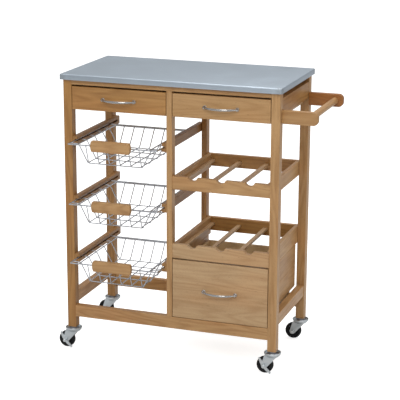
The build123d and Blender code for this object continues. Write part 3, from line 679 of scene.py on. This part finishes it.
# an arched bar with flattened section on two turned feet, and the screws inside the drawer
def makeHandle(drawer, look):
    low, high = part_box(f"{drawer}_handle")
    frontLow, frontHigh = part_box(f"{drawer}_front")
    x, z = (low.x + high.x) / 2, (low.z + high.z) / 2
    reach = frontLow.y - low.y - look["thick"] / 2
    span, halfCentres = look["overall"] / 2, look["centres"] / 2
    rise = reach - look["footHeight"]
    ring = (halfCentres ** 2 + rise ** 2) / (2 * rise)
    sweep = math.asin(span / ring)
    middle = Vector((x, frontLow.y - reach + ring, z))
    bm = bmesh.new()
    made = bmesh.ops.create_circle(bm, cap_ends=False, segments=20, radius=1)["verts"]
    bmesh.ops.scale(bm, vec=(look["thick"] / 2, look["tall"] / 2, 1), verts=made)
    section = aimed(0, -ring, 0) @ Matrix.Rotation(math.pi / 2, 4, "Z") @ facings["front"]
    start = Matrix.Translation(middle) @ Matrix.Rotation(-sweep, 4, "Z") @ section
    bmesh.ops.transform(bm, matrix=start, verts=made)
    bmesh.ops.spin(bm, geom=bm.verts[:] + bm.edges[:], cent=middle, axis=(0, 0, 1),
                   angle=2 * sweep, steps=48, use_merge=False, use_duplicate=False)
    for v in bm.verts:  # slimmer towards the two ends
        share = min(1.0, abs(v.co.x - x) / span)
        v.co.z = z + (v.co.z - z) * (1 - look["endTaper"] * share ** 3)
    bmesh.ops.holes_fill(bm, edges=[e for e in bm.edges if e.is_boundary], sides=0)
    roundEdges(bm, sharpEdges(bm, 60), look["endRound"], 3)
    for footX in (x - halfCentres, x + halfCentres):
        addTurned(bm, look["foot"], aimed(footX, frontLow.y, z, "front"), 28)
        addTurned(bm, look["screw"], aimed(footX, frontHigh.y, z, "back"), 24)
    finishPiece(f"{drawer}_bow", bm, metals["satinChrome"], drawer,
                (f"{drawer}_handle",), 45)


for drawer in drawerBox["shifts"]:
    makeHandle(drawer, bow)
print("handles made")

basket = {"rimWire": 0.002, "trayWire": 0.0018, "wire": 0.0016, "depth": 0.058,
          "trayInset": 0.026, "trayGap": 0.0065, "overlap": 0.002, "columns": 6,
          "columnPitch": 0.033, "rows": 5, "rowPitch": 0.0585, "frontTaper": 0.021,
          "backTaper": 0.045, "sideTaper": 0.027, "rimRound": 0.008, "bend": 0.009}


# a bent wire: its corners are softened by a point a little before and after each
def addWire(curve, points, radius, bend, closed=False):
    points = [Vector(p) for p in points]
    count = len(points)
    route = []
    for n, p in enumerate(points):
        if closed or 0 < n < count - 1:
            before, after = points[n - 1], points[(n + 1) % count]
            route += [p + (before - p).normalized() * bend, p,
                      p + (after - p).normalized() * bend]
        else:
            route.append(p)
    spline = curve.splines.new("NURBS")
    spline.points.add(len(route) - 1)
    for point, p in zip(spline.points, route):
        point.co = (*p, 1)
        point.radius = radius
    spline.use_cyclic_u = closed
    spline.order_u = 3
    spline.use_endpoint_u = not closed
    spline.resolution_u = 5


def newWiring(name):
    curve = bpy.data.curves.new(name, "CURVE")
    curve.dimensions = "3D"
    curve.bevel_depth = 1.0  # each point's radius is then the wire's own
    curve.bevel_resolution = 2
    curve.use_fill_caps = True
    curve.materials.append(metals["platedWire"])
    return curve


def makeBasket(level, look):
    low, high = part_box(f"basket_{level}_wires")
    rim, wire, overlap = look["rimWire"], look["wire"], look["overlap"]
    x, z = (low.x + high.x) / 2, high.z - rim
    frontY, backY = low.y + rim, high.y - rim
    halfRim = (high.x - low.x) / 2 - rim
    halfTray = halfRim - look["trayInset"]
    halfFloor = halfTray - look["sideTaper"]
    floorZ = z - look["depth"] + wire
    floorFront, floorBack = frontY + look["frontTaper"], backY - look["backTaper"]
    trayZ = z - rim + look["trayWire"] * 0.2
    trayFront, trayBack = frontY + look["trayGap"], backY - look["trayGap"]
    curve = newWiring(f"basket_{level}_wiring")
    for half, near, far, height, radius in (
            (halfRim, frontY, backY, z, rim),
            (halfTray, trayFront, trayBack, trayZ, look["trayWire"])):
        loop = [(x - half, near, height), (x + half, near, height), (x + half, far, height),
                (x - half, far, height)]
        addWire(curve, loop, radius, look["rimRound"], closed=True)
    for n in range(look["columns"]):  # front to back, over the floor
        across = x + (n - (look["columns"] - 1) / 2) * look["columnPitch"]
        top, bottom = z - rim * 0.4, floorZ + wire
        addWire(curve, [(across, frontY + rim, top), (across, floorFront, bottom),
                        (across, floorBack, bottom), (across, backY - rim, top)],
                wire, look["bend"])
    for n in range(look["rows"]):  # side to side, under the floor, then out to the rim
        y = min(floorFront + overlap + n * look["rowPitch"], floorBack - overlap)
        shelf, top, bottom = z - rim - wire * 0.2, z - rim * 0.6, floorZ - wire * 0.6
        side = [(halfRim, top), (halfTray + overlap, shelf), (halfFloor, bottom)]
        route = [(x - out, y, height) for out, height in side]
        route += [(x + out, y, height) for out, height in reversed(side)]
        addWire(curve, route, wire, look["bend"])
    placePiece(bpy.data.objects.new(f"basket_{level}_wiring", curve), f"basket_{level}",
               (f"basket_{level}_wires",))


grip = {"endBow": 0.0035, "bowCuts": 9, "round": 0.0018,
        "shifts": {"top": 37, "middle": 38, "bottom": 39}}


# the wooden pull on a basket's front, with bowed ends and softened edges
def makeGrip(level, look):
    low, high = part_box(f"basket_{level}_grip")
    bm = bmesh.new()
    addBox(bm, low, high)
    upright = [e for e in bm.edges if runsAlong(e, 2)]
    bmesh.ops.subdivide_edges(bm, edges=upright, cuts=look["bowCuts"], use_grid_fill=True)
    centre, half = (low + high) / 2, (high - low) / 2
    for v in bm.verts:
        share = (v.co.z - centre.z) / half.z
        side = 1 if v.co.x > centre.x else -1
        v.co.x -= side * look["endBow"] * share * share
    roundEdges(bm, sharpEdges(bm, 40), look["round"], 4)
    finishPiece(f"basket_{level}_pull", bm, wood("plain", "x", look["shifts"][level]),
                f"basket_{level}", (f"basket_{level}_grip",))


for level in grip["shifts"]:
    makeBasket(level, basket)
    makeGrip(level, grip)
print("baskets made")

caster = {
    "cup": 0.025, "cupDepth": 0.014, "plate": 0.002, "halfGap": 0.011, "eye": 0.009,
    "rootBack": 0.0215, "rootFront": 0.013, "rootTop": 0.0055, "rootSlope": 0.001,
    "shaft": 0.003, "hubEnd": 0.0172, "ribs": 8, "raceDrop": 0.008, "neck": 0.0118,
    "bowl": mm((4.1, 0), (15, 0), (17, 0.7), (18.75, 2.1), (20.5, 3.92), (22.5, 6.16),
               (23.875, 8.12), (24.75, 10.08), (25, 11.76), (25, 12.8), (24.6, 13.7), (24, 14),
               (23.4, 13.7), (23, 13), (22.75, 10.48), (21.875, 8.52), (20.5, 6.56),
               (18.5, 4.32), (17.5, 4), (4.1, 4), (4.1, 0)),
    "rivet": mm((0, 0), (4.5, 0), (4.5, 0.35), (3.87, 0.924), (2.475, 1.302), (0, 1.4)),
    "race": mm((0, 0), (15.5, 0), (17.7, 0.5), (18.5, 1.4), (18.1, 2.4), (16.5, 3),
               (14.3, 3.4), (12.4, 4.6), (11.8, 6.4)),
    "pin": mm((0, -4.5), (3.6, -4.5), (4, -4), (4, 1), (0, 1))}


# a dished swivel cup, a fork plate on each side of the wheel, and the riveted axle
def makeFork(name, look):
    low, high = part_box(f"{name}_fork")
    wheelLow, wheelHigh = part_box(f"{name}_wheel")
    axle = (wheelLow + wheelHigh) / 2
    x, y, cupLow = high.x - look["cup"], axle.y, high.z - look["cupDepth"]
    back, front, top = x - look["rootBack"], x + look["rootFront"], cupLow + look["rootTop"]
    root = [(back, top), (front, top), (back + look["rootSlope"], cupLow), (front, cupLow)]
    bm = bmesh.new()
    addTurned(bm, look["bowl"], aimed(x, y, cupLow), 56)
    for side in (-1, 1):
        inner = y + side * look["halfGap"]
        outer = inner + side * look["plate"]
        addWrappedPlate(bm, root, (axle.x, axle.z, look["eye"]), min(inner, outer),
                        max(inner, outer))
    end = look["halfGap"] + look["plate"]
    reach = y - low.y - look["rivet"][-1][1]
    addTurned(bm, look["rivet"], aimed(axle.x, y - reach, axle.z, "front"), 28)
    addTurned(bm, look["rivet"], aimed(axle.x, y + end, axle.z, "back"), 28)
    shaft = [(0, -end), (look["shaft"], -end), (look["shaft"], reach), (0, reach)]
    addTurned(bm, shaft, aimed(axle.x, y, axle.z, "front"), 20)
    finishPiece(f"{name}_cupAndFork", bm, metals["zincPlate"], f"{name}_swivel",
                (f"{name}_fork",), 42)


# a tyre with rounded shoulders, and a dished hub with ribs on both faces
def makeWheel(name, look):
    low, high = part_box(f"{name}_wheel")
    half, radius, hub = (high.y - low.y) / 2, (high.z - low.z) / 2, look["hubEnd"]
    place = aimed(*((low + high) / 2), "front")
    tyre = bmesh.new()
    shoulder = [(radius, 0.0), (radius, half * 0.42), (radius - 0.0007, half * 0.66),
                (radius - 0.0021, half * 0.86), (radius - 0.0042, half), (hub + 0.0028, half),
                (hub + 0.0018, half - 0.0007), (hub + 0.0004, half - 0.001),
                (hub + 0.0002, half - 0.004)]
    profile = [(r, -h) for r, h in reversed(shoulder[1:])] + shoulder
    profile.append((hub + 0.0002, 0.004 - half))
    addTurned(tyre, profile, place, 64)
    finishPiece(f"{name}_tyre", tyre, plastics["tyreRubber"], f"{name}_roller",
                (f"{name}_wheel",))
    body = bmesh.new()
    dish = [(0.00315, half - 0.0002), (0.0058, half - 0.0002), (0.0066, half - 0.0008),
            (0.0072, half - 0.0032), (0.0086, half - 0.0036), (hub - 0.003, half - 0.0036),
            (hub - 0.0018, half - 0.003), (hub - 0.0012, half - 0.0008),
            (hub - 0.0002, half - 0.0006)]
    addTurned(body, dish + [(r, -h) for r, h in reversed(dish)] + dish[:1], place, 56)
    for turn in (0, math.pi):
        for n in range(look["ribs"]):
            old = set(body.verts)
            addBlock(body, (0.0066, -0.0006, half - 0.0042),
                     (hub - 0.0014, 0.0006, half - 0.0014), 0.0003, 2)
            spin = place @ Matrix.Rotation(turn, 4, "X") \
                @ Matrix.Rotation(2 * math.pi * n / look["ribs"], 4, "Z")
            bmesh.ops.transform(body, matrix=spin, verts=[v for v in body.verts if v not in old])
    finishPiece(f"{name}_hub", body, plastics["hubPlastic"], f"{name}_roller")


lever = {"bulge": 0.007, "inner": 0.0015, "end": 0.005, "slant": 52, "tab": 0.006,
         "offset": 0.0035, "past": 0.004, "thick": 0.0015, "tipGap": 0.0004, "round": 0.0003}


# a crescent plate outside the fork, with both ends folded out to be trodden on
def makeLever(name, look):
    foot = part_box(f"{name}_brake_lever")[1].y
    wheelLow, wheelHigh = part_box(f"{name}_wheel")
    axle = (wheelLow + wheelHigh) / 2
    halfSpan = (wheelHigh.z - wheelLow.z) / 2 + look["past"]
    halfEnd = look["end"] / 2
    bm = bmesh.new()
    bmesh.ops.create_grid(bm, x_segments=28, y_segments=4, size=1)
    for v in bm.verts:
        arch = 1 - v.co.x ** 2
        lowEdge, highEdge = -halfEnd - look["bulge"] * arch, halfEnd - look["inner"] * arch
        v.co.x *= halfSpan - look["tipGap"]
        v.co.y = lowEdge + (v.co.y + 1) / 2 * (highEdge - lowEdge)
    for side in (-1, 1):
        ends = [e for e in bm.edges if e.is_boundary and not runsAlong(e, 0)
                and all(side * v.co.x > halfSpan - 0.001 for v in e.verts)]
        grown = bmesh.ops.extrude_edge_only(bm, edges=ends)["geom"]
        tips = [v for v in grown if isinstance(v, bmesh.types.BMVert)]
        bmesh.ops.translate(bm, vec=(0, 0, look["tab"] - look["thick"] * 0.5), verts=tips)
    bmesh.ops.recalc_face_normals(bm, faces=bm.faces[:])
    bmesh.ops.solidify(bm, geom=bm.faces[:], thickness=look["thick"])
    lowest = min(v.co.z for v in bm.verts)
    bmesh.ops.translate(bm, vec=(0, 0, -lowest), verts=bm.verts[:])
    roundEdges(bm, sharpEdges(bm, 50), look["round"], 2)
    slant = math.radians(look["slant"])
    along, outward = Vector((math.cos(slant), 0, -math.sin(slant))), Vector((0, -1, 0))
    across = outward.cross(along)
    spot = Vector((axle.x, foot, axle.z)) + across * look["offset"]
    turn = Matrix((along, across, outward)).transposed().to_4x4()
    bmesh.ops.transform(bm, matrix=Matrix.Translation(spot) @ turn, verts=bm.verts[:])
    finishPiece(f"{name}_brake_crescent", bm, metals["zincPlate"], f"{name}_brake",
                (f"{name}_brake_lever",), 42)


# the fixed races in the cups, with a neck up to each leg and a pin down through the cup
def makeRaces(names, look):
    bm = bmesh.new()
    neck = look["neck"]
    for name in names:
        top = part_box(f"{name}_fork")[1]
        wheelLow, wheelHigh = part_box(f"{name}_wheel")
        bottom = top.z - look["raceDrop"]
        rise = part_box("leg_front_left")[0].z - bottom
        place = aimed(top.x - look["cup"], (wheelLow.y + wheelHigh.y) / 2, bottom)
        profile = look["race"] + [(neck, rise - 0.0008), (neck - 0.0006, rise), (0, rise)]
        addTurned(bm, profile, place, 48)
        addTurned(bm, look["pin"], place, 24)
    finishPiece("casterRaces", bm, metals["boltSteel"], "frame",
                ("caster_stems",), 42)


casterNames = [f"caster_{end}_{hand}" for end in ("front", "rear") for hand in ("left", "right")]
for name in casterNames:
    makeFork(name, caster)
    makeWheel(name, caster)
    if "front" in name:  # only these have brakes
        makeLever(name, lever)
makeRaces(casterNames, caster)
print("casters made")

boltHead = {"radius": 0.006, "rise": 0.004, "socket": 0.0029, "socketDepth": 0.0024,
            "rimRound": 0.0004, "rimDrop": 0.0005, "sink": 0.005, "apronHalf": 0.009,
            "railHalf": 0.011}


def extrudeEdges(bm, edges):
    grown = bmesh.ops.extrude_edge_only(bm, edges=edges)["geom"]
    return [v for v in grown if isinstance(v, bmesh.types.BMVert)]


# a socket head sunk in a leg; the shanks stay in the wood
def addBolt(bm, place, look):
    part = bmesh.new()
    top = Matrix.Translation((0, 0, look["rise"]))
    rings = []
    for segments, radius in ((36, look["radius"] - look["rimRound"]), (6, look["socket"])):
        ring = bmesh.ops.create_circle(part, cap_ends=False, segments=segments, radius=radius,
                                       matrix=top)["verts"]
        rings.append([e for e in part.edges if e.verts[0] in ring])
    bmesh.ops.bridge_loops(part, edges=rings[0] + rings[1])
    inner = extrudeEdges(part, rings[1])
    bmesh.ops.translate(part, vec=(0, 0, -look["socketDepth"]), verts=inner)
    floor = [e for e in part.edges if all(v in inner for v in e.verts)]
    bmesh.ops.contextual_create(part, geom=floor)
    for height in (look["rise"] - look["rimDrop"], 0.0):
        for v in extrudeEdges(part, [e for e in part.edges if e.is_boundary]):
            flat = Vector((v.co.x, v.co.y, 0)).normalized() * look["radius"]
            v.co = (flat.x, flat.y, height)
    bmesh.ops.contextual_create(part, geom=[e for e in part.edges if e.is_boundary])
    bmesh.ops.transform(part, matrix=place, verts=part.verts[:])
    addMesh(bm, part)


def makeBolts(look):
    bm = bmesh.new()
    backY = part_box("leg_rear_left")[1].y
    for node, half in (("side_aprons", look["apronHalf"]), ("bottom_side_rails", look["railHalf"])):
        low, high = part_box(node)
        for x in (low.x + half, high.x - half):
            addBolt(bm, aimed(x, backY - look["sink"], (low.z + high.z) / 2, "back"), look)
    legInner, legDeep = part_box("leg_front_right")[0].x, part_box("leg_front_right")[1].y
    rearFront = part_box("leg_rear_right")[0].y
    for y in ((armsLow.y + legDeep) / 2, (armsHigh.y + rearFront) / 2):
        place = aimed(legInner + look["sink"], y, (armsLow.z + armsHigh.z) / 2, "left")
        addBolt(bm, place, look)
    finishPiece("socketBolts", bm, metals["boltSteel"], "frame",
                ("frame_bolts",), 30)


makeBolts(boltHead)
print("bolts made")

studio = {"size": 12, "floor": 0.72, "floorShade": 0.98, "floorRoughness": 0.9,
          "floorGlow": 0.72, "sky": (0.98, 0.99, 1, 1), "zenith": 0.8, "horizon": 0.28,
          "skyEnd": 0.75, "white": (1, 1, 1, 1)}


# the glow is only for the camera, so it lights nothing
def makeFloor(look):
    bm = bmesh.new()
    bmesh.ops.create_grid(bm, x_segments=1, y_segments=1, size=look["size"])
    data = bpy.data.meshes.new("floor")
    bm.to_mesh(data)
    bm.free()
    material, tree, shader, place = newMaterial("paleFloor")
    tone, shade = look["floor"], look["floor"] * look["floorShade"]
    colour = mixed(tree, noise(tree, place, 3.0), (tone, tone, tone, 1), (shade, shade, shade, 1))
    feed(tree, shader.inputs["Base Color"], colour)
    shader.inputs["Roughness"].default_value = look["floorRoughness"]
    shader.inputs["Emission Color"].default_value = look["white"]
    seen = addNode(tree, "ShaderNodeLightPath").outputs["Is Camera Ray"]
    glow = calc(tree, "MULTIPLY", seen, look["floorGlow"])
    feed(tree, shader.inputs["Emission Strength"], glow)
    data.materials.append(material)
    floor = bpy.data.objects.new("floor", data)
    scene.collection.objects.link(floor)


def makeWorld(look):
    world = bpy.data.worlds.new("studio")
    scene.world = world
    world.use_nodes = True
    tree = world.node_tree
    tree.nodes.clear()
    seen = addNode(tree, "ShaderNodeLightPath").outputs["Is Camera Ray"]
    ahead = addNode(tree, "ShaderNodeTexCoord").outputs["Generated"]
    up = addNode(tree, "ShaderNodeSeparateXYZ", {0: ahead}).outputs["Z"]
    glow = ramp(tree, up, 0.0, look["skyEnd"], look["horizon"], look["zenith"])
    soft = addNode(tree, "ShaderNodeBackground", {"Color": look["sky"], "Strength": glow})
    white = addNode(tree, "ShaderNodeBackground", {"Color": look["white"], "Strength": 1.0})
    both = addNode(tree, "ShaderNodeMixShader", {0: seen, 1: soft.outputs[0], 2: white.outputs[0]})
    addNode(tree, "ShaderNodeOutputWorld", {"Surface": both.outputs[0]})


softLights = [
    {"name": "keyLight", "place": (0.5, -3.6, 2.9), "size": 1.8, "power": 62,
     "colour": (1, 0.985, 0.96)},
    {"name": "sideLight", "place": (3.2, -1.4, 1.9), "size": 2.0, "power": 9,
     "colour": (0.95, 0.97, 1)},
    {"name": "topLight", "place": (0.2, 0.9, 3.4), "size": 2.6, "power": 42,
     "colour": (1, 1, 1)},
]
lightTarget = Vector((0, 0, 0.4))


def makeLight(look):
    data = bpy.data.lights.new(look["name"], "AREA")
    data.size = look["size"]
    data.energy = look["power"]
    data.color = look["colour"]
    light = bpy.data.objects.new(look["name"], data)
    scene.collection.objects.link(light)
    light.location = look["place"]
    aim = lightTarget - Vector(look["place"])
    light.rotation_euler = aim.to_track_quat("-Z", "Y").to_euler()


makeFloor(studio)
makeWorld(studio)
for look in softLights:
    makeLight(look)
print("studio lit")
